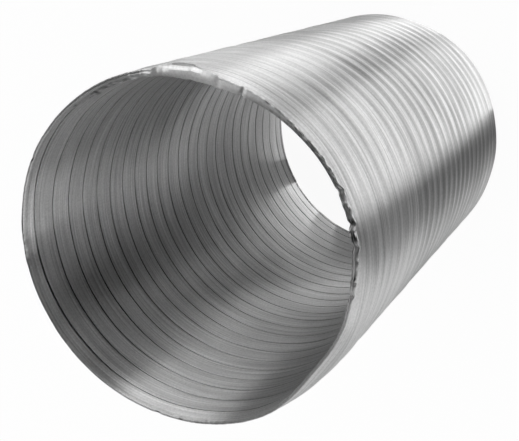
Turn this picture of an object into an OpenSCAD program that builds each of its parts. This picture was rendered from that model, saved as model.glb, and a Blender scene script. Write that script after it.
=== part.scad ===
// Flexible aluminium duct: one strip of thin sheet, wound into a left-handed spiral whose turns are
// joined by folds that stand out from the bore. It stands on one mouth, with its axis along +Z.

/* [Duct] */
// Bore of the hem at each mouth, which is the size that the duct is sold by
mouth_d = 125; // [60:1:250]

/* [Spiral] */
// Length that one turn of the strip adds along the axis
pitch = 8.73; // [7.5:0.01:14]
// Turns of the spiral fold
turns = 24; // [3:1:24]
// Direction, seen from above, in which the fold starts at the foot and runs out at the top
fold_angle = -21; // [-180:1:180]

/* [Fold] */
// Thickness of the sheet
sheet_t = 0.3; // [0.2:0.05:0.4]
// Height of a fold above the flat bands
fold_h = 2.2; // [1.8:0.1:4]
// Gap between two flat bands, seen from inside
slit_w = 0.9; // [0.4:0.1:1.5]
// Width of the hollow under a fold's crown
hollow_w = 3.8; // [2:0.1:4]
// Height of the locked seam that lies on the band between two folds
seam_h = 1.4; // [0.1:0.1:1.8]
// Share of a turn over which the fold rises from the sheet at each end
rise = 0.18; // [0.15:0.01:0.3]

/* [Hem] */
// Height of the hem at each mouth
hem_h = 1.6; // [1.2:0.1:6]
// Distance by which the hem stands inside the flat bands
hem_step = 0.2; // [0.1:0.05:0.5]
// Thickness that the folded-back edge adds outside the sheet
hem_fold = 0.4; // [0.3:0.05:1]
// Chamfer on both edges of the hem
hem_chamfer = 0.25; // [0.1:0.05:0.4]
// Plain sheet between the hem and the very end of the fold
plain_h = 0.15; // [0.1:0.05:5]

/* [Hidden] */

// Straight facets round the tube
SEGMENTS = 28;
// Corners of one fold on each side of the sheet
CORNERS = 4;

// Radius of the hem's bore, and of the bands' corners, whose flat facets clear the hem by its step
mouth_r = mouth_d / 2;
bore_r = (mouth_r + hem_step) / cos(180 / SEGMENTS);
hem_outer_r = bore_r + sheet_t + hem_fold;

// The sheet's plain ends stop this far inside the hems, and stay plain for a little above them
hem_lap = 0.8;
shoulder = 0.2;
sheet_end = hem_h - hem_lap;
plain_end = hem_h + shoulder;
// Height at which the spiral's centre line starts, and the whole length of the duct
fold_start = plain_end + plain_h + slit_w / 2;
duct_h = 2 * fold_start + turns * pitch;

// How far a fold has risen, from 0 to 1, after a number of turns; the first and the last facet stay plain
function ramp(x) = let (c = min(1, max(0, x))) c * c * (3 - 2 * c);
function fold_rise(t) = ramp((min(t, turns - t) - 1 / SEGMENTS) / rise);

// Half the width of a fold's hollow at its crown; a fold that has not risen narrows to half its slit
function crown_half(a) = slit_w / 4 + a * (hollow_w / 2 - slit_w / 4);

// Extra half width of a fold's outside, which keeps the sheet equally thick along its leaning walls
function skin(a) = let (lean = (crown_half(a) - slit_w / 2) / max(a * fold_h, 0.001))
    sheet_t * (lean + sqrt(1 + lean * lean));

// Half the width of a fold's outside where it meets the seams on either side
function neck_half(a) = slit_w / 2 + skin(a) + (crown_half(a) - slit_w / 2) * seam_h / fold_h;

// The corners of a fold as [radius, height from the fold's centre line], upwards along the tube
function fold_inside(a) = [
    [bore_r, -slit_w / 2],
    [bore_r + a * fold_h, -crown_half(a)],
    [bore_r + a * fold_h, crown_half(a)],
    [bore_r, slit_w / 2]
];
function fold_outside(a) = [
    [bore_r + sheet_t + a * seam_h, -neck_half(a)],
    [bore_r + sheet_t + a * fold_h, -crown_half(a) - skin(a)],
    [bore_r + sheet_t + a * fold_h, crown_half(a) + skin(a)],
    [bore_r + sheet_t + a * seam_h, neck_half(a)]
];

// One upright column of corners at a facet's edge: its plain foot, every fold that it meets, its plain head
function column(r, j, inside) = concat(
    [[r, sheet_end], [r, plain_end]],
    [for (
        k = [0 : turns - 1],
        a = [fold_rise(k + j / SEGMENTS)],
        c = inside ? fold_inside(a) : fold_outside(a)
    ) [c[0], c[1] + fold_start + (k + j / SEGMENTS) * pitch]],
    [[r, duct_h - plain_end], [r, duct_h - sheet_end]]
);
function around(column, j) = let (angle = -360 * j / SEGMENTS)
    [for (c = column) [c[0] * cos(angle), c[0] * sin(angle), c[1]]];

// Corners in a column on one side of the sheet, and the number of a corner in the list of points
PLAIN_ROWS = 2;
ROWS = turns * CORNERS + 2 * PLAIN_ROWS;
function corner(side, j, row) = (side * SEGMENTS + j) * ROWS + row;

// Two triangles between a column and the next, which may stand some corners higher in its own list
function facet(side, j, row, climb = 0) = let (next = (j + 1) % SEGMENTS)
    [
        [corner(side, j, row), corner(side, j, row + 1), corner(side, next, row + climb + 1)],
        [corner(side, j, row), corner(side, next, row + climb + 1), corner(side, next, row + climb)]
    ];
// The last facet below the spiral's start and above its end, where a fan of plain triangles fills the
// turn that the two columns don't share
function foot(side) =
    let (low = PLAIN_ROWS - 1, last = SEGMENTS - 1)
    concat(
        [for (row = [0 : low - 1], f = facet(side, last, row)) f],
        [[corner(side, last, low), corner(side, last, low + 1), corner(side, 0, low + 1 + CORNERS)]],
        [for (row = [low : low + CORNERS])
            [corner(side, last, low), corner(side, 0, row + 1), corner(side, 0, row)]]
    );
function head(side) =
    let (top = ROWS - PLAIN_ROWS, last = SEGMENTS - 1)
    concat(
        [for (row = [top : ROWS - 2], f = facet(side, last, row)) f],
        [[corner(side, last, top - 1 - CORNERS), corner(side, 0, top), corner(side, 0, top - 1)]],
        [for (row = [top - 1 - CORNERS : top - 1])
            [corner(side, last, row), corner(side, last, row + 1), corner(side, 0, top)]]
    );
// One side of the sheet; across the last facet each row meets the row that is one turn further up
function wall(side) = concat(
    [for (j = [0 : SEGMENTS - 2], row = [0 : ROWS - 2], f = facet(side, j, row)) f],
    [for (row = [PLAIN_ROWS : ROWS - PLAIN_ROWS - CORNERS - 2], f = facet(side, SEGMENTS - 1, row, CORNERS)) f],
    foot(side),
    head(side)
);
function flipped(faces) = [for (f = faces) [f[2], f[1], f[0]]];

// Plain annular ends of the sheet, at the first and the last row
function end_ring(row) =
    [for (j = [0 : SEGMENTS - 1], next = [(j + 1) % SEGMENTS], f = [
        [corner(0, j, row), corner(1, j, row), corner(1, next, row)],
        [corner(0, j, row), corner(1, next, row), corner(0, next, row)]
    ]) f];

module wound_sheet() {
    points = concat(
        [for (j = [0 : SEGMENTS - 1], p = around(column(bore_r, j, true), j)) p],
        [for (j = [0 : SEGMENTS - 1], p = around(column(bore_r + sheet_t, j, false), j)) p]
    );
    faces = concat(wall(0), flipped(wall(1)), flipped(end_ring(0)), end_ring(ROWS - 1));
    polyhedron(points, faces, convexity = 10);
}

module hem() {
    rotate_extrude($fn = 96)
        polygon([
            [mouth_r + hem_chamfer, 0],
            [hem_outer_r - hem_chamfer, 0],
            [hem_outer_r, hem_chamfer],
            [hem_outer_r, hem_h],
            [mouth_r, hem_h],
            [mouth_r, hem_chamfer]
        ]);
}

module spiral_duct() {
    color("silver")
        union() {
            rotate([0, 0, fold_angle])
                wound_sheet();
            hem();
            translate([0, 0, duct_h])
                mirror([0, 0, 1])
                    hem();
        }
}

spiral_duct();
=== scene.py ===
import math

import bpy
from mathutils import Matrix, Quaternion, Vector, noise


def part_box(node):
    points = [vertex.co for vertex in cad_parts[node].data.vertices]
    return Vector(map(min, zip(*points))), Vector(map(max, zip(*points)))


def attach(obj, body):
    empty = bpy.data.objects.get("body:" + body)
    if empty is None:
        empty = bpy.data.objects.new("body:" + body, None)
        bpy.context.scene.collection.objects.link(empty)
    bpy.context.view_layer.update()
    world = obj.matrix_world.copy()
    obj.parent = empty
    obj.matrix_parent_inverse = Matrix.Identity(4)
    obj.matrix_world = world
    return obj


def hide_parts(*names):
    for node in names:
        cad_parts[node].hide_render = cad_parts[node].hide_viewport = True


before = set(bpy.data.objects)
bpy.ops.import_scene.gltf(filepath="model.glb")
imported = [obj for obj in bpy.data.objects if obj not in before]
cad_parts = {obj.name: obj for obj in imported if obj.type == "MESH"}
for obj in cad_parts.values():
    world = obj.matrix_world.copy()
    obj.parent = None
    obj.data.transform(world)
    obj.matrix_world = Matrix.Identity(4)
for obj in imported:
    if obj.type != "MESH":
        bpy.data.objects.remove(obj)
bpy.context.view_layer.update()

MM = 0.001

# Sizes of the duct, as in the model; the length comes from its box
NODE = "spiral_duct"
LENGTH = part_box(NODE)[1][2]
TURNS = 24
BORE_R = 63.0 * MM
SHEET_T = 0.3 * MM
FOLD_H = 2.2 * MM
SEAM_H = 1.4 * MM
SLIT_W = 0.6 * MM
HOLLOW_W = 3.8 * MM
FOLD_START = 2.4 * MM
FOLD_ANGLE = math.radians(-21)
PITCH = (LENGTH - 2 * FOLD_START) / TURNS
HEM_H = 1.6 * MM
HEM_R = 62.5 * MM
HEM_OUTER_R = 63.7 * MM

# Turns after which the fold starts to rise out of the sheet, and over which it rises
RISE_START = 0.02
RISE = 0.17

# Rounding of the slit's edges inside
SLIT_EDGE = 0.06 * MM

# The sheet's plain ends start inside the hems and stay plain for a little above them; from there the
# outside rises at most this steeply
SHEET_END = 0.8 * MM
PLAIN_END = 1.8 * MM
END_SLOPE = 0.6

# Least distance between two rows of points that the plain ends press together
ROW_GAP = 0.01 * MM

# Facets round the wound sheet and round the finer hems
SEGMENTS = 192
HEM_SEGMENTS = 1440

# Edges sharper than this are shaded as edges
SHARP_ANGLE = math.radians(32)

# The duct isn't quite round: each mouth is pressed out of true in its own direction
OVAL_UPPER = 0.0398
OVAL_UPPER_ANGLE = math.radians(77.7)
OVAL_LOWER = 0.0144
OVAL_LOWER_ANGLE = math.radians(-15.4)

# The folds lean along the tube, less so close to the hems
LEAN = 2.8 * MM
LEAN_ANGLE = math.radians(45)
LEAN_REACH = 9 * MM

# The strip's folded edge lies in the trough between two folds, from this share of the pitch off
# their middles
EDGE_AT = 0.4
EDGE_STEP = 0.05 * MM

# Near the upper mouth the troughs outside are shallower, by this share
SHALLOW = 0.45
UPPER_REACH = 50 * MM
UPPER_BLEND = 40 * MM

# How much painted shade, for the folds' shade on each other, darkens the locked seams against the bands
# between, near the upper mouth and further down, and how far it is shifted along the tube, as a share of the
# pitch
SEAM_SHADE_UPPER = 0.3
SEAM_SHADE_LOWER = 0.9
SEAM_SHADE_SHIFT = -0.08

# Slow dents all over the sheet, which differ from one turn to the next, and how close together they
# are round the tube and along it
UNDULATION = 0.3 * MM
DENTS_ROUND = 3
DENTS_ALONG = 1.3

# The upper mouth is opened out a little
FLARE = 1.5 * MM
FLARE_REACH = 4 * MM

# The upper mouth is pushed in on one side, as (direction in degrees, half width in degrees, depth)
PUSHED_IN = [(-153, 18, 3.6 * MM), (-124, 15, 1.7 * MM)]
PUSHED_REACH = 7 * MM

# The upper hem's layers stand apart in one direction, and its outer layer is folded down in another, with
# painted shadow on its underside
GAPE = 0.9 * MM
GAPE_ANGLE = math.radians(-112)
GAPE_WIDTH = math.radians(16)
TURNED_OUT = 1.8 * MM
TURNED_DOWN = 2.0 * MM
TURNED_ANGLE = math.radians(-40)
TURNED_WIDTH = math.radians(8)
TURNED_SHADOW = 1.3

# The upper hem's inner edge is bent inwards over a longer stretch there, and droops by this share
BENT_IN = 2.8 * MM
BENT_DROOP = 0.35
BENT_ANGLE = math.radians(-48)
BENT_WIDTH = math.radians(24)

# Where the upper hem's layers have come apart, as (direction in degrees, half width in degrees); the
# open fold is deep there, and painted shade darkens it
OPEN_FOLDS = [(-105.5, 0.7), (-109.5, 1.6), (-121, 0.9), (30.5, 0.8), (54, 3), (137, 0.9), (146, 0.8)]
OPEN_DEPTH = 0.9 * MM
OPEN_FOLD_SHADE = 2.8

# Stretch of the upper rim where the outer layer is frayed all along, darkened with painted shade in its
# crumples
FRAYED_ANGLE = math.radians(-90)
FRAYED_WIDTH = math.radians(22)
FRAY = 0.45 * MM
FRAY_SHADE = 2.2

# The strip's cut end, tucked in under the upper hem between two directions in degrees; towards the second
# it loses a share of its depth, and its creases are darkened with painted shade
TUCK_START = 6
TUCK_END = -38
TUCK_R = 62.75 * MM
TUCK_TOP = 1.4 * MM
TUCK_DEPTH = 4.2 * MM
TUCK_NARROWING = 0.6
TUCK_LIFT = 0.9 * MM
TUCK_STEPS = 120
TUCK_COLUMNS = 6
CREASE_SHADE = 1.5

# One pit in the tucked end, darkened with painted shade
PIT_ANGLE = math.radians(-5)
PIT_WIDTH = math.radians(0.9)
PIT_SHADE = 2.6

# Unevenness of both mouths, outwards and down: a slow waver all round, and a finer roughness in places
WAVER_OUT = 0.04 * MM
WAVER_DOWN = 0.08 * MM
ROUGH_OUT = 0.05 * MM
ROUGH_DOWN = 0.08 * MM
CRUMPLE_REACH = 2.2 * MM

# Small crumples of the upper hem, as (direction in degrees, half width in degrees, outwards, down)
CRUMPLES = [
    (-29, 1.5, -0.4 * MM, 0.4 * MM),
    (-43, 0.8, 0.3 * MM, 0.0 * MM),
    (-52, 1.2, -0.4 * MM, 0.3 * MM),
    (-60, 0.7, 0.3 * MM, 0.2 * MM),
    (-97, 0.8, 0.3 * MM, 0.3 * MM),
    (-101, 1.0, -0.4 * MM, 0.5 * MM),
    (-106, 0.7, 0.5 * MM, 0.2 * MM),
    (-108, 0.9, -0.6 * MM, 0.8 * MM),
    (-112, 1.0, 0.4 * MM, 0.3 * MM),
    (-122, 0.7, -0.4 * MM, 0.4 * MM),
    (-126, 0.8, 0.3 * MM, 0.3 * MM),
    (30, 0.8, -0.1 * MM, 0.2 * MM),
    (66, 2.5, 0.3 * MM, 0.1 * MM),
    (137, 1.2, -0.15 * MM, 0.2 * MM),
    (145, 1.5, 0.2 * MM, 0.2 * MM),
]

# Limits of the metal's tint, of its grain and of its roughness, and the depth of its scratches
TINT = (0.62, 0.94)
GRAIN = (0.93, 1.07)
ROUGHNESS = (0.37, 0.43)
SCRATCH_DEPTH = 0.04 * MM

# The painted shade at which the metal is darkest, and what is left of its colour there
MOST_SHADE = 3
DARKEST = 0.04

# The white ground: half the floor's width, its grey, the share of it that glows for the rays that see the
# ground, and the world's light on everything else
FLOOR_HALF = 30
FLOOR_GREY = 0.9
FLOOR_GLOW = 0.94
WORLD_LIGHT = 0.9

# Studio cards: levels, and sizes of the tent of cards round the duct
LIGHT = 1.1
MID = 0.6
DIM = 0.25
BLACK = 0.0
TENT_R = 1.5
WALL_H = 0.4
ROOF_H = 2.0
CARD_STEP = 5

# Cards on the floor: outside the wall's foot, further out, and under the bore; the first lie where the wall
# mirrors them to a camera on this side of the duct
CAMERA_SIDE = math.radians(-90)
WALL_FOOT_R = 66 * MM
FLOOR_CARD_Z = 0.5 * MM
CLOSE_REACH = 0.08
FAR_REACH = 0.38
GROUND_R = 0.42
MIDDLE_R = 36 * MM
EDGE_R = 65.5 * MM
BORE_CARD_Z = 0.3 * MM

# Camera, from a fit to the photograph's outline
CAMERA_AT = Vector((0, -172.0, 424.9)) * MM
CAMERA_AIM = Vector((-5.1, 0, 155.4)) * MM
CAMERA_ROLL = math.radians(-121.96)
CAMERA_LENS = 55.5
CAMERA_SENSOR = 36


def smooth(x):
    """0 below 0, 1 above 1 and a smooth step between."""
    x = min(1.0, max(0.0, x))
    return x * x * (3 - 2 * x)


def mix(a, b, t):
    return a + (b - a) * t


def bump(angle, middle, width):
    """1 in one direction, falling off smoothly on both sides of it."""
    apart = math.remainder(angle - middle, 2 * math.pi)
    return math.exp(-(apart / width) ** 2)


def bump_degrees(angle, middle, width):
    """A bump whose middle and width are in degrees, as in the lists of marks."""
    return bump(angle, math.radians(middle), math.radians(width))


def ripple(angle, count, seed):
    """A slow uneven wave round the tube, between about -1 and 1."""
    return 1.6 * noise.noise(Vector((count * math.cos(angle), count * math.sin(angle), seed)))


# Shape of the section

def fold_rise(turns):
    """How far the fold has risen after a number of turns, from 0 to 1."""
    return smooth((min(turns, TURNS - turns) - RISE_START) / RISE)


def fold_inside(a):
    """The fold's inner side as (radius, height from its centre line), upwards."""
    half = mix(SLIT_W / 4, HOLLOW_W / 2, a)
    top = BORE_R + a * FOLD_H
    side = [
        (BORE_R, SLIT_W / 2 + SLIT_EDGE),
        (BORE_R + min(SLIT_EDGE, 0.5 * a * FOLD_H), SLIT_W / 2),
        (mix(BORE_R, top, 0.85), mix(SLIT_W / 2, half, 0.9)),
        (top, 0.7 * half),
    ]
    return [(r, -z) for r, z in side] + [(r, z) for r, z in reversed(side)]


# Rows of the fold's outer side, as (share of the pitch from its middle, step of the strip's edge)
UPPER_SHARES = [
    (0.05, 0),
    (0.15, 0),
    (0.27, 0),
    (EDGE_AT - 0.015, 0),
    (EDGE_AT, EDGE_STEP),
    (0.46, EDGE_STEP),
]
OUTSIDE_SHARES = [(-share, step) for share, step in reversed(UPPER_SHARES)] + UPPER_SHARES


def fold_outside(a, shallow=0.0):
    """The fold's outer side from one trough to the next: a soft wave, with the strip's edge in the trough."""
    height = a * (FOLD_H - SEAM_H) * (1 - shallow)
    trough = BORE_R + SHEET_T + a * FOLD_H - height
    return [(trough + height * (1 + math.cos(2 * math.pi * share)) / 2 + a * step, share * PITCH)
            for share, step in OUTSIDE_SHARES]


# Rows of points in one turn of the fold and in a whole column, for the inner side (True) and the outer
# (False), and rows on both edges of the outer section that the plain ends hold down
PLAIN_ROWS = 2
FOLD_ROWS = {True: len(fold_inside(1)), False: len(fold_outside(1))}
COLUMN_ROWS = {inside: TURNS * rows + 2 * PLAIN_ROWS for inside, rows in FOLD_ROWS.items()}
SEAM_ROWS = 3


# Shape of the whole

def from_end(z):
    """Distance from the nearer mouth."""
    return min(z, LENGTH - z)


def further_down(z):
    """0 near the upper mouth and 1 further down."""
    return smooth((LENGTH - z - UPPER_REACH) / UPPER_BLEND)


def fold_rows(j, inside):
    """The rows of every fold that meets a facet's edge, upwards, kept off the plain sheet at the ends."""
    rows = []
    for k in range(TURNS):
        turns = k + j / SEGMENTS
        middle = FOLD_START + turns * PITCH
        shallow = SHALLOW * (1 - further_down(middle))
        section = fold_inside(fold_rise(turns)) if inside else fold_outside(fold_rise(turns), shallow)
        for i, (r, z) in enumerate(section):
            z += middle
            if not inside and min(i, len(section) - 1 - i) < SEAM_ROWS:
                r = min(r, BORE_R + SHEET_T + END_SLOPE * max(0, from_end(z) - PLAIN_END))
            rows.append((r, z))
    last = len(rows) - 1
    return [(r, min(max(z, PLAIN_END + (i + 1) * ROW_GAP), LENGTH - PLAIN_END - (last - i + 1) * ROW_GAP))
            for i, (r, z) in enumerate(rows)]


def column(j, inside):
    """One upright column of points at a facet's edge: its plain foot, the folds and its plain head."""
    r = BORE_R if inside else BORE_R + SHEET_T
    foot = [(r, SHEET_END), (r, PLAIN_END)]
    head = [(r, LENGTH - z) for _, z in reversed(foot)]
    return foot + fold_rows(j, inside) + head


def ovality(angle, z):
    """What the radius is multiplied by where the tube is pressed out of round."""
    upper = OVAL_UPPER * math.cos(2 * (angle - OVAL_UPPER_ANGLE))
    lower = OVAL_LOWER * math.cos(2 * (angle - OVAL_LOWER_ANGLE))
    return 1 + mix(lower, upper, z / LENGTH)


def lean(angle, z):
    """How far the folds are pushed along the tube, less so close to both mouths."""
    held = (1 - math.exp(-z / LEAN_REACH)) * (1 - math.exp((z - LENGTH) / LEAN_REACH))
    return -LEAN * held * math.cos(angle - LEAN_ANGLE)


def undulation(angle, z):
    """Slow dents of the sheet, different from one turn to the next."""
    across = (DENTS_ROUND * math.cos(angle), DENTS_ROUND * math.sin(angle))
    return UNDULATION * noise.noise(Vector((*across, DENTS_ALONG * z / PITCH)))


def crumple(angle, z):
    """How far a crumpled mouth is pushed outwards and down."""
    depth = math.exp(-(from_end(z) / CRUMPLE_REACH) ** 2)
    rough = smooth(0.5 + ripple(angle, 3, 2.5))
    outwards = WAVER_OUT * ripple(angle, 9, 1.5) + ROUGH_OUT * rough * ripple(angle, 45, 4.5)
    down = WAVER_DOWN * (1 + ripple(angle, 8, 7.5)) + ROUGH_DOWN * rough * (1 + ripple(angle, 60, 9.5))
    if z > LENGTH / 2:
        for direction, width, out, drop in CRUMPLES:
            share = bump_degrees(angle, direction, width)
            outwards += out * share
            down += drop * share
    return outwards * depth, down * depth


def pushed_in(angle, z):
    """How far the upper mouth is pushed in by hand, over its last few millimetres."""
    depth = sum(most * bump_degrees(angle, direction, width) for direction, width, most in PUSHED_IN)
    return depth * math.exp(-((LENGTH - z) / PUSHED_REACH) ** 2)


def place(r, z, angle):
    """The point at a radius, a height and a direction, moved by all that is out of true there."""
    outwards, down = crumple(angle, z)
    outwards -= pushed_in(angle, z)
    flare = FLARE * math.exp(-((LENGTH - z) / FLARE_REACH) ** 2)
    r = r * ovality(angle, z) + undulation(angle, z) + outwards + flare
    z += lean(angle, z) + (down if z < LENGTH / 2 else -down)
    return (r * math.cos(angle), r * math.sin(angle), z)


def seam_shade(row, inside, z):
    """How much painted shade darkens the sheet: 0 inside and on the plain ends, and most on the locked seams
    outside.
    """
    if inside or not PLAIN_ROWS <= row < COLUMN_ROWS[inside] - PLAIN_ROWS:
        return 0.0
    share, _ = OUTSIDE_SHARES[(row - PLAIN_ROWS) % len(OUTSIDE_SHARES)]
    most = mix(SEAM_SHADE_UPPER, SEAM_SHADE_LOWER, further_down(z))
    return most * (1 + math.cos(2 * math.pi * (share + SEAM_SHADE_SHIFT))) / 2


def link_mesh(name, points, faces, painted_shade):
    """A piece of the duct, with its painted shade kept for the material."""
    mesh = bpy.data.meshes.new(name)
    mesh.from_pydata(points, [], faces)
    layer = mesh.attributes.new("painted_shade_amount", "FLOAT", "POINT")
    layer.data.foreach_set("value", painted_shade)
    mesh.shade_smooth()
    mesh.set_sharp_from_angle(angle=SHARP_ANGLE)
    piece = bpy.data.objects.new(name, mesh)
    bpy.context.scene.collection.objects.link(piece)
    return piece


def side_faces(starts, inside):
    """The faces of one side of the strip. Across the last facet each row joins the row one turn up, and
    fans of triangles fill the turn at each end that the two columns don't share."""
    climb = FOLD_ROWS[inside]
    top = COLUMN_ROWS[inside] - PLAIN_ROWS
    faces = []
    for j in range(SEGMENTS - 1):
        here, there = starts[inside, j], starts[inside, j + 1]
        for row in range(COLUMN_ROWS[inside] - 1):
            faces.append((here + row, here + row + 1, there + row + 1, there + row))

    here, there = starts[inside, SEGMENTS - 1], starts[inside, 0]
    faces.append((here, here + 1, there + 1, there))
    for row in range(1, climb + 2):
        faces.append((here + 1, there + row + 1, there + row))
    faces.append((here + 1, here + 2, there + climb + 2))
    for row in range(2, top - climb - 1):
        faces.append((here + row, here + row + 1, there + row + climb + 1, there + row + climb))
    faces.append((here + top - climb - 1, there + top, there + top - 1))
    for row in range(top - climb - 1, top):
        faces.append((here + row, here + row + 1, there + top))
    faces.append((here + top, here + top + 1, there + top + 1, there + top))
    return faces if inside else [face[::-1] for face in faces]


def end_faces(starts):
    """The ring of faces at each end of the strip, between its inner and its outer side."""
    inner = COLUMN_ROWS[True] - 1
    outer = COLUMN_ROWS[False] - 1
    faces = []
    for j in range(SEGMENTS):
        n = (j + 1) % SEGMENTS
        faces.append((starts[True, j], starts[True, n], starts[False, n], starts[False, j]))
        faces.append((starts[True, j] + inner, starts[False, j] + outer,
                      starts[False, n] + outer, starts[True, n] + inner))
    return faces


def build_strip():
    """The whole wall as one closed skin, wound like the strip."""
    points, painted_shade = [], []
    starts = {}
    for inside in (True, False):
        for j in range(SEGMENTS):
            starts[inside, j] = len(points)
            angle = FOLD_ANGLE - 2 * math.pi * j / SEGMENTS
            for row, (r, z) in enumerate(column(j, inside)):
                points.append(place(r, z, angle))
                painted_shade.append(seam_shade(row, inside, z))
    faces = side_faces(starts, True) + side_faces(starts, False) + end_faces(starts)
    return link_mesh("wound_strip", points, faces, painted_shade)


# The hem is the sheet's edge, folded back on itself; its section runs from the bore over the lip, as
# (radius, distance from the mouth)
HEM_MIDDLE = 63.05 * MM
HEM_SECTION = [
    (HEM_R + 0.12 * MM, HEM_H),
    (HEM_R, HEM_H - 0.2 * MM),
    (HEM_R, 0.35 * MM),
    (HEM_R + 0.08 * MM, 0.1 * MM),
    (HEM_R + 0.25 * MM, 0.0),
    (HEM_MIDDLE - 0.1 * MM, 0.0),
    (HEM_MIDDLE, 0.45 * MM),
    (HEM_MIDDLE + 0.1 * MM, 0.05 * MM),
    (HEM_OUTER_R - 0.25 * MM, 0.05 * MM),
    (HEM_OUTER_R - 0.08 * MM, 0.15 * MM),
    (HEM_OUTER_R, 0.4 * MM),
    (HEM_OUTER_R, HEM_H - 0.2 * MM),
    (HEM_OUTER_R - 0.12 * MM, HEM_H),
]

# Corners of that section: the bottom of the slit between the layers, and the outer layer's outside, which
# faces down where the layer is folded down
SLIT_CORNER = 6
OUTSIDE_CORNER = 10


def fray_share(angle, corner):
    """How much painted shade darkens the frayed stretch in one direction, differently for each corner of the
    hem.
    """
    return bump(angle, FRAYED_ANGLE, FRAYED_WIDTH) * smooth(2 * ripple(angle, 36, 1.5 * corner))


def open_share(angle):
    """How far the upper hem's layers have come apart in one direction, from 0 to 1."""
    return max(bump_degrees(angle, direction, width) for direction, width in OPEN_FOLDS)


def worn_corner(corner, angle):
    """A corner of the upper hem in one direction, as (radius, distance from the mouth, painted shade)."""
    r, z = HEM_SECTION[corner]
    apart = open_share(angle)
    turned = bump(angle, TURNED_ANGLE, TURNED_WIDTH)
    gape = bump(angle, GAPE_ANGLE, GAPE_WIDTH)
    if corner < SLIT_CORNER:
        bent = BENT_IN * bump(angle, BENT_ANGLE, BENT_WIDTH)
        inwards = bent * math.sqrt((HEM_MIDDLE - r) / (HEM_MIDDLE - HEM_R)) * (1 - z / HEM_H)
        r -= inwards
        z += BENT_DROOP * inwards
    elif corner == SLIT_CORNER:
        z += OPEN_DEPTH * max(gape, apart)
    else:
        frayed = FRAY * bump(angle, FRAYED_ANGLE, FRAYED_WIDTH)
        r += GAPE * gape + TURNED_OUT * turned + frayed * ripple(angle, 34, 5.5)
        z += TURNED_DOWN * turned * (1 - z / HEM_H) + frayed * ripple(angle, 30, 6.5)
    # Painted shade in the open fold between the layers
    if abs(corner - SLIT_CORNER) < 2:
        return r, z, OPEN_FOLD_SHADE * apart
    # Painted shadow on the underside of the folded-down outer layer
    underside_shadow = TURNED_SHADOW * turned if corner >= OUTSIDE_CORNER else 0.0
    # Painted shade in the frayed edge's crumples
    return r, z, max(underside_shadow, FRAY_SHADE * fray_share(angle, corner))


def build_hems():
    """Both folded hems, the upper one with all its wear, and painted shade in its open folds, frays and under
    its folded-down layer.
    """
    points, faces, painted_shade = [], [], []
    count = len(HEM_SECTION)
    for upper in (True, False):
        start = len(points)
        for j in range(HEM_SEGMENTS):
            angle = 2 * math.pi * j / HEM_SEGMENTS
            for corner in range(count):
                r, z, shade_here = worn_corner(corner, angle) if upper else (*HEM_SECTION[corner], 0.0)
                points.append(place(r, LENGTH - z if upper else z, angle))
                painted_shade.append(shade_here)
        for j in range(HEM_SEGMENTS):
            here = start + j * count
            there = start + (j + 1) % HEM_SEGMENTS * count
            for i in range(count):
                n = (i + 1) % count
                face = (here + i, there + i, there + n, here + n)
                faces.append(face if upper else face[::-1])
    return link_mesh("folded_hems", points, faces, painted_shade)


def build_tucked_end():
    """The strip's cut end, tucked in under the upper hem and crumpled where the last fold runs out."""
    points, faces, painted_shade = [], [], []
    side_rows = TUCK_COLUMNS + 1
    rows = 2 * side_rows
    for j in range(TUCK_STEPS + 1):
        share = j / TUCK_STEPS
        angle = math.radians(mix(TUCK_START, TUCK_END, share))
        ends = math.sin(math.pi * share) ** 0.5
        uneven = 1 + 0.5 * noise.noise(Vector((24 * share, 0.5, 3.5)))
        depth = TUCK_DEPTH * ends * (1 - TUCK_NARROWING * share) * uneven
        for side in (0, 1):
            for i in range(side_rows):
                across = i / TUCK_COLUMNS
                dent = noise.noise(Vector((20 * share, 2 * across, 8.5)))
                r = TUCK_R - TUCK_LIFT * across * ends * (0.6 + dent) + side * SHEET_T
                points.append(place(r, LENGTH - TUCK_TOP - depth * across, angle))
                pit = bump(angle, PIT_ANGLE, PIT_WIDTH) * math.sin(math.pi * across)
                # Painted shade in the pit and in the creases
                painted_shade.append(max(PIT_SHADE * pit, CREASE_SHADE * smooth(-3 * dent)))
    last = TUCK_COLUMNS
    for j in range(TUCK_STEPS):
        here, there = j * rows, (j + 1) * rows
        for i in range(TUCK_COLUMNS):
            outer = i + side_rows
            faces.append((here + i, here + i + 1, there + i + 1, there + i))
            faces.append((there + outer, there + outer + 1, here + outer + 1, here + outer))
        faces.append((here + last, here + rows - 1, there + rows - 1, there + last))
        faces.append((here, there, there + side_rows, here + side_rows))
    for start, order in ((0, -1), (TUCK_STEPS * rows, 1)):
        front = list(range(start, start + side_rows))
        back = list(range(start + rows - 1, start + last, -1))
        faces.append(tuple((front + back)[::order]))
    return link_mesh("tucked_end", points, faces, painted_shade)


strip = build_strip()
hems = build_hems()
tucked_end = build_tucked_end()


# Materials

def new_material(name):
    """A material with its nodes, its links and its shader."""
    material = bpy.data.materials.new(name)
    material.use_nodes = True
    nodes = material.node_tree.nodes
    return material, nodes, material.node_tree.links, nodes["Principled BSDF"]


def combine(nodes, links, operation, a, b):
    """Two values put together by one operation, such as their product."""
    both = nodes.new("ShaderNodeMath")
    both.operation = operation
    links.new(a, both.inputs[0])
    links.new(b, both.inputs[1])
    return both.outputs["Value"]


def streaks(nodes, links, round_scale, along_scale, detail):
    """Noise drawn out round the tube, for the lines that the rolls leave in the sheet."""
    coordinates = nodes.new("ShaderNodeTexCoord")
    stretch = nodes.new("ShaderNodeMapping")
    stretch.inputs["Scale"].default_value = (round_scale, round_scale, along_scale)
    lines = nodes.new("ShaderNodeTexNoise")
    lines.inputs["Scale"].default_value = 1
    lines.inputs["Detail"].default_value = detail
    links.new(coordinates.outputs["Object"], stretch.inputs["Vector"])
    links.new(stretch.outputs["Vector"], lines.inputs["Vector"])
    return lines.outputs["Fac"]


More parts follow.
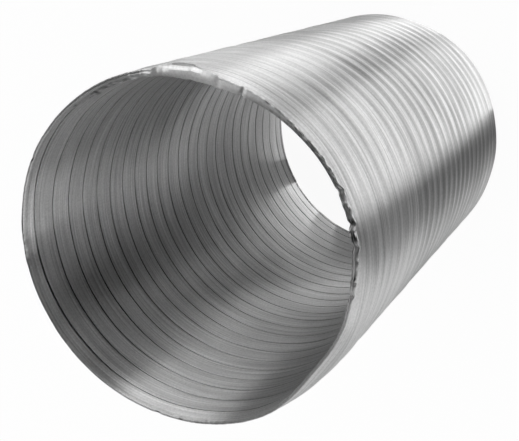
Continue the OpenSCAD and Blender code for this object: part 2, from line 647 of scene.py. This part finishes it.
def spread(nodes, links, value, low, high):
    """Spreads a noise value between two limits."""
    limits = nodes.new("ShaderNodeMapRange")
    limits.inputs["From Min"].default_value = 0.3
    limits.inputs["From Max"].default_value = 0.7
    limits.inputs["To Min"].default_value = low
    limits.inputs["To Max"].default_value = high
    links.new(value, limits.inputs["Value"])
    return limits.outputs["Result"]


def darkening(nodes, links):
    """What is left of the metal's colour under the pieces' painted shade."""
    painted_shade_amount = nodes.new("ShaderNodeAttribute")
    painted_shade_amount.attribute_name = "painted_shade_amount"
    shade = nodes.new("ShaderNodeMapRange")
    shade.inputs["From Max"].default_value = MOST_SHADE
    shade.inputs["To Min"].default_value = 1
    shade.inputs["To Max"].default_value = DARKEST
    links.new(painted_shade_amount.outputs["Fac"], shade.inputs["Value"])
    return shade.outputs["Result"]


def aluminium():
    """Bare rolled sheet: fine lines round the tube, which smear what it mirrors along the axis."""
    material, nodes, links, shader = new_material("rolled_aluminium")
    shader.inputs["Metallic"].default_value = 1
    shader.inputs["Anisotropic"].default_value = 1
    shader.inputs["Anisotropic Rotation"].default_value = 0.25
    tangent = nodes.new("ShaderNodeTangent")
    tangent.direction_type = "RADIAL"
    tangent.axis = "Z"
    links.new(tangent.outputs["Tangent"], shader.inputs["Tangent"])
    tint = spread(nodes, links, streaks(nodes, links, 20, 1300, 3), *TINT)
    grain = spread(nodes, links, streaks(nodes, links, 1300, 1300, 1), *GRAIN)
    # The metal's colour is darkened by the painted shade that the pieces carry
    shaded = combine(nodes, links, "MULTIPLY", tint, darkening(nodes, links))
    links.new(combine(nodes, links, "MULTIPLY", shaded, grain), shader.inputs["Base Color"])
    roughness = spread(nodes, links, streaks(nodes, links, 60, 300, 2), *ROUGHNESS)
    links.new(roughness, shader.inputs["Roughness"])
    scratches = nodes.new("ShaderNodeBump")
    scratches.inputs["Strength"].default_value = 0.6
    scratches.inputs["Distance"].default_value = SCRATCH_DEPTH
    links.new(streaks(nodes, links, 25, 1500, 4), scratches.inputs["Height"])
    links.new(scratches.outputs["Normal"], shader.inputs["Normal"])
    return material


sheet_metal = aluminium()
for piece in (strip, hems, tucked_end):
    piece.data.materials.append(sheet_metal)
    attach(piece, "root")
    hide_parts(NODE)


# Floor and world

def sees_ground(nodes, links):
    """1 for rays from the camera, mirrored rays and rays through glass, which see the plain white ground."""
    rays = nodes.new("ShaderNodeLightPath").outputs
    direct = combine(nodes, links, "MAXIMUM", rays["Is Camera Ray"], rays["Is Glossy Ray"])
    return combine(nodes, links, "MAXIMUM", direct, rays["Is Transmission Ray"])


def build_floor():
    mesh = bpy.data.meshes.new("floor")
    half = FLOOR_HALF
    corners = [(-half, -half, 0), (half, -half, 0), (half, half, 0), (-half, half, 0)]
    mesh.from_pydata(corners, [], [(0, 1, 2, 3)])
    floor = bpy.data.objects.new("floor", mesh)
    bpy.context.scene.collection.objects.link(floor)
    material, nodes, links, shader = new_material("floor_white")
    shader.inputs["Base Color"].default_value = (FLOOR_GREY, FLOOR_GREY, FLOOR_GREY, 1)
    shader.inputs["Roughness"].default_value = 1
    shader.inputs["Specular IOR Level"].default_value = 0
    white = nodes.new("ShaderNodeEmission")
    white.inputs["Strength"].default_value = 1
    blend = nodes.new("ShaderNodeMixShader")
    share = nodes.new("ShaderNodeMath")
    share.operation = "MULTIPLY"
    share.inputs[1].default_value = FLOOR_GLOW
    links.new(sees_ground(nodes, links), share.inputs[0])
    links.new(share.outputs["Value"], blend.inputs["Fac"])
    links.new(shader.outputs["BSDF"], blend.inputs[1])
    links.new(white.outputs["Emission"], blend.inputs[2])
    links.new(blend.outputs["Shader"], nodes["Material Output"].inputs["Surface"])
    mesh.materials.append(material)


def build_world():
    world = bpy.data.worlds.new("studio")
    bpy.context.scene.world = world
    world.use_nodes = True
    nodes, links = world.node_tree.nodes, world.node_tree.links
    light = nodes["Background"]
    light.inputs["Color"].default_value = (1, 1, 1, 1)
    light.inputs["Strength"].default_value = WORLD_LIGHT
    white = nodes.new("ShaderNodeBackground")
    white.inputs["Color"].default_value = (1, 1, 1, 1)
    white.inputs["Strength"].default_value = 1
    blend = nodes.new("ShaderNodeMixShader")
    links.new(sees_ground(nodes, links), blend.inputs["Fac"])
    links.new(light.outputs["Background"], blend.inputs[1])
    links.new(white.outputs["Background"], blend.inputs[2])
    links.new(blend.outputs["Shader"], nodes["World Output"].inputs["Surface"])


# Studio cards: light and dark sheets round the duct, which only mirror rays see

def card_material(level):
    name = "card_%.2f" % level
    if name in bpy.data.materials:
        return bpy.data.materials[name]
    material = bpy.data.materials.new(name)
    material.use_nodes = True
    nodes, links = material.node_tree.nodes, material.node_tree.links
    nodes.clear()
    light = nodes.new("ShaderNodeEmission")
    light.inputs["Strength"].default_value = level
    out = nodes.new("ShaderNodeOutputMaterial")
    links.new(light.outputs["Emission"], out.inputs["Surface"])
    return material


def add_card(rows, level):
    """A card of one level through rows of points, one row for each direction."""
    width = len(rows[0])
    points = [point for row in rows for point in row]
    faces = [(j * width + i, j * width + i + 1, (j + 1) * width + i + 1, (j + 1) * width + i)
             for j in range(len(rows) - 1) for i in range(width - 1)]
    mesh = bpy.data.meshes.new("card")
    mesh.from_pydata(points, [], faces)
    mesh.materials.append(card_material(level))
    card = bpy.data.objects.new("card", mesh)
    bpy.context.scene.collection.objects.link(card)
    card.visible_camera = False
    card.visible_diffuse = False
    card.visible_transmission = False
    card.visible_shadow = False


def directions(start, end):
    """Directions from one to another in degrees, in even steps."""
    steps = max(2, round(abs(end - start) / CARD_STEP))
    return [math.radians(mix(start, end, i / steps)) for i in range(steps + 1)]


def round_cards(profile, levels):
    """Cards that sweep a line of (radius, height) round the axis, as (from, to, level) in degrees."""
    for start, end, level in levels:
        rows = [[(r * math.cos(a), r * math.sin(a), z) for r, z in profile] for a in directions(start, end)]
        add_card(rows, level)


def floor_card(start, end, inner, outer, level):
    """A card on the floor that the wall mirrors to the camera between two directions in degrees."""
    rows = []
    for a in directions(start, end):
        mirrored = 2 * a - CAMERA_SIDE
        foot = Vector((math.cos(a), math.sin(a), 0)) * WALL_FOOT_R + Vector((0, 0, FLOOR_CARD_Z))
        out = Vector((math.cos(mirrored), math.sin(mirrored), 0))
        rows.append([foot + out * inner, foot + out * outer])
    add_card(rows, level)


def build_cards():
    # Outside the wall's foot, as (from, to, level close to it, level further out)
    for start, end, close, far in (
        (-180, -129, 0.65, 0.4),
        (-129, -118, 0.45, 0.1),
        (-118, -106, 0.25, 0.15),
        (-106, -72, 2.0, 1.2),
        (-72, -63, 1.7, 0.6),
        (-63, -50, 2.5, 1.35),
        (-50, 0, 0.05, 0.05),
    ):
        floor_card(start, end, 0, CLOSE_REACH, close)
        floor_card(start, end, CLOSE_REACH, FAR_REACH, far)

    # The ground further out, with the foot of the tent's wall
    round_cards([(GROUND_R, 0.0), (TENT_R, 0.0), (TENT_R, WALL_H)], [
        (-20, 20, MID),
        (20, 140, 1.0),
        (140, 180, 0.75),
        (180, 210, 0.45),
        (210, 240, BLACK),
        (240, 270, 1.7),
        (270, 300, 1.4),
        (300, 320, 0.4),
        (320, 340, LIGHT),
    ])

    # The tent's wall
    round_cards([(TENT_R, WALL_H), (TENT_R, ROOF_H)], [
        (-30, 20, 2.2),
        (20, 50, 0.3),
        (50, 120, 0.15),
        (120, 180, MID),
        (180, 215, 1.4),
        (215, 330, BLACK),
    ])

    # The tent's roof
    round_cards([(0.0, ROOF_H), (TENT_R, ROOF_H)], [
        (-30, 30, 1.3),
        (30, 120, BLACK),
        (120, 210, 0.5),
        (210, 330, BLACK),
    ])

    # Under the middle of the bore
    round_cards([(0.0, BORE_CARD_Z), (MIDDLE_R, BORE_CARD_Z)], [
        (-60, -15, DIM),
        (-15, 74, BLACK),
        (74, 88, 0.4),
        (88, 106, 0.9),
        (106, 300, BLACK),
    ])

    # Under the edge of the bore
    round_cards([(MIDDLE_R, BORE_CARD_Z), (EDGE_R, BORE_CARD_Z)], [
        (0, 15, 0.5),
        (15, 45, 1.3),
        (45, 75, 0.8),
        (75, 89, 0.3),
        (89, 110, 1.6),
        (110, 122, 0.8),
        (122, 165, 0.3),
        (165, 195, 0.45),
        (195, 282, BLACK),
        (282, 300, 0.55),
        (300, 318, 0.8),
        (318, 360, BLACK),
    ])


def build_camera():
    """The camera of the main view, which looks down into the upper mouth."""
    data = bpy.data.cameras.new("camera")
    data.sensor_width = CAMERA_SENSOR
    data.lens = CAMERA_LENS
    camera = bpy.data.objects.new("camera", data)
    bpy.context.scene.collection.objects.link(camera)
    roll = Quaternion((0, 0, 1), CAMERA_ROLL)
    turn = (CAMERA_AIM - CAMERA_AT).to_track_quat("-Z", "Y") @ roll
    camera.matrix_world = Matrix.Translation(CAMERA_AT) @ turn.to_matrix().to_4x4()
    bpy.context.scene.camera = camera


build_floor()
build_world()
build_cards()
build_camera()

bpy.context.scene.view_settings.view_transform = "Standard"
